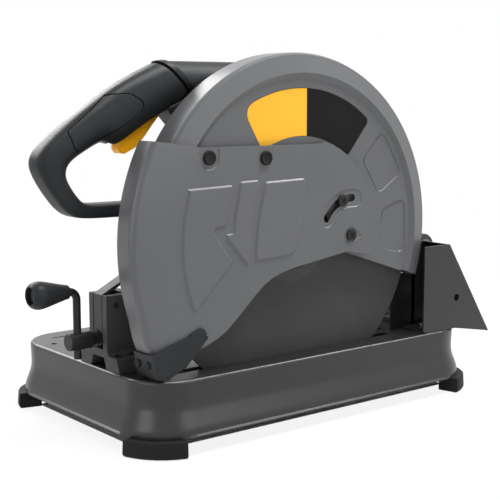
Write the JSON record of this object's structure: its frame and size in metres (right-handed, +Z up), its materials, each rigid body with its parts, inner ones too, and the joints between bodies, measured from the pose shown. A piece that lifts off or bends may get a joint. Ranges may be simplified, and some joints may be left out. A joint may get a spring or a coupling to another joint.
{
  "type": "abrasive cut-off saw",
  "caption": "Bench abrasive cut-off saw: guarded wheel on a swinging motor head with loop handle and trigger, crank vice, swivel fence and pressed base on rubber feet.",
  "frame": {"origin": "on the floor, under the middle of the bounding box", "axes": "+Z up, -X towards the operator and the vice crank, -Y towards the wheel side, +Y along the motor"},
  "size_m": [0.5705, 0.3104, 0.3947],
  "materials": {
    "base_paint": "satin",
    "guard_paint": "satin",
    "rubber": "matte",
    "steel": "zinc",
    "black_steel": "black oxide",
    "iron": "painted dark",
    "plastic": "fine grain",
    "alloy": "cast",
    "carbon": "matte",
    "copper": "wound",
    "abrasive": "gritty",
    "label": "matte",
    "amber": "satin"
  },
  "bodies": {
    "base": {"base_pan": "base_paint", "rubber_feet": "rubber", "foot_screws": "steel", "vice_bracket": "iron", "bracket_bolts": "black_steel", "lever_pin": "black_steel", "pivot_stand": "iron", "stand_bolts": "steel", "pivot_shaft": "steel", "shaft_clips": "steel", "spring_sleeve": "plastic", "return_spring": "steel", "stop_bolt": "steel", "spark_deflector": "base_paint", "deflector_screws": "steel"},
    "lever": {"nut_lever": "black_steel"},
    "vice": {"vice_jaw": "iron"},
    "screw": {"vice_screw": "black_steel", "crank_rod": "black_steel", "jaw_pin": "steel"},
    "knob": {"crank_knob": "plastic"},
    "fence": {"fence": "iron", "fence_bolts": "steel"},
    "head": {"gear_case": "alloy", "gear_plate": "alloy", "case_screws": "steel", "motor_housing": "plastic", "motor_cap": "plastic", "cap_screws": "steel", "stator": "iron", "brushes": "carbon", "brush_caps": "plastic", "rotor_bearings": "steel", "spindle_bearings": "steel", "handle_near": "plastic", "handle_far": "plastic", "handle_screws": "steel", "handle_neck": "plastic", "switch_block": "plastic", "cord_gland": "rubber", "upper_guard": "guard_paint", "guard_screws": "steel", "badge_plate": "amber", "cover_screws": "black_steel"},
    "cover": {"front_cover": "guard_paint", "cover_buttons": "rubber", "cover_shoe": "plastic"},
    "wheel": {"wheel": "abrasive", "spindle": "steel", "spindle_gear": "steel", "inner_flange": "steel", "wheel_label": "label", "outer_flange": "steel", "wheel_bolt": "steel"},
    "rotor": {"armature": "copper", "rotor_shaft": "steel", "commutator": "copper", "motor_fan": "plastic"},
    "trigger": {"trigger": "amber"},
    "lock": {"lock_button": "plastic"}
  },
  "joints": [
    {"name": "head_swing", "type": "hinge", "parent": "base", "child": "head", "pos_m": [0.219, -0.069, 0.1665], "axis": [0, 1, 0], "range_deg": [0, 45]},
    {"name": "cover_swing", "type": "hinge", "parent": "head", "child": "cover", "pos_m": [0.0604, -0.127, 0.1983], "axis": [0, 1, 0], "range_deg": [0, 40]},
    {"name": "wheel_spin", "type": "hinge", "parent": "head", "child": "wheel", "pos_m": [-0.0066, -0.107, 0.2037], "axis": [0, 1, 0], "continuous": true},
    {"name": "rotor_spin", "type": "hinge", "parent": "head", "child": "rotor", "pos_m": [0.02841, 0.02, 0.23798], "axis": [0, 1, 0], "continuous": true},
    {"name": "trigger_pull", "type": "hinge", "parent": "head", "child": "trigger", "pos_m": [-0.14, -0.05, 0.3405], "axis": [0, 1, 0], "range_deg": [0, 6], "stiffness_Nm_per_rad": 0.6, "springref_deg": -11.46},
    {"name": "lock_push", "type": "slide", "parent": "head", "child": "lock", "axis": [1, 0, 0], "range_m": [0, 0.004], "stiffness_N_per_m": 600, "springref_m": -0.005},
    {"name": "vice_slide", "type": "slide", "parent": "base", "child": "vice", "axis": [-1, 0, 0], "range_m": [0, 0.148]},
    {"name": "crank_turn", "type": "hinge", "parent": "vice", "child": "screw", "pos_m": [-0.233, -0.04, 0.105], "axis": [-1, 0, 0], "range_deg": [0, 13320]},
    {"name": "knob_spin", "type": "hinge", "parent": "screw", "child": "knob", "pos_m": [-0.264, -0.04, 0.1565], "axis": [-1, 0, 0], "continuous": true},
    {"name": "lever_lift", "type": "hinge", "parent": "base", "child": "lever", "pos_m": [-0.198, -0.04, 0.1395], "axis": [0, 1, 0], "range_deg": [0, 22], "stiffness_Nm_per_rad": 0.3, "springref_deg": -22.92},
    {"name": "fence_swivel", "type": "hinge", "parent": "base", "child": "fence", "pos_m": [0.072, -0.078, 0.0745], "axis": [0, 0, -1], "range_deg": [0, 45]}
  ],
  "couplings": [
    {"joint": "rotor_spin", "follows": "wheel_spin", "ratio": -3.6667},
    {"joint": "crank_turn", "follows": "vice_slide", "rad_per_m": 1570.8}
  ]
}
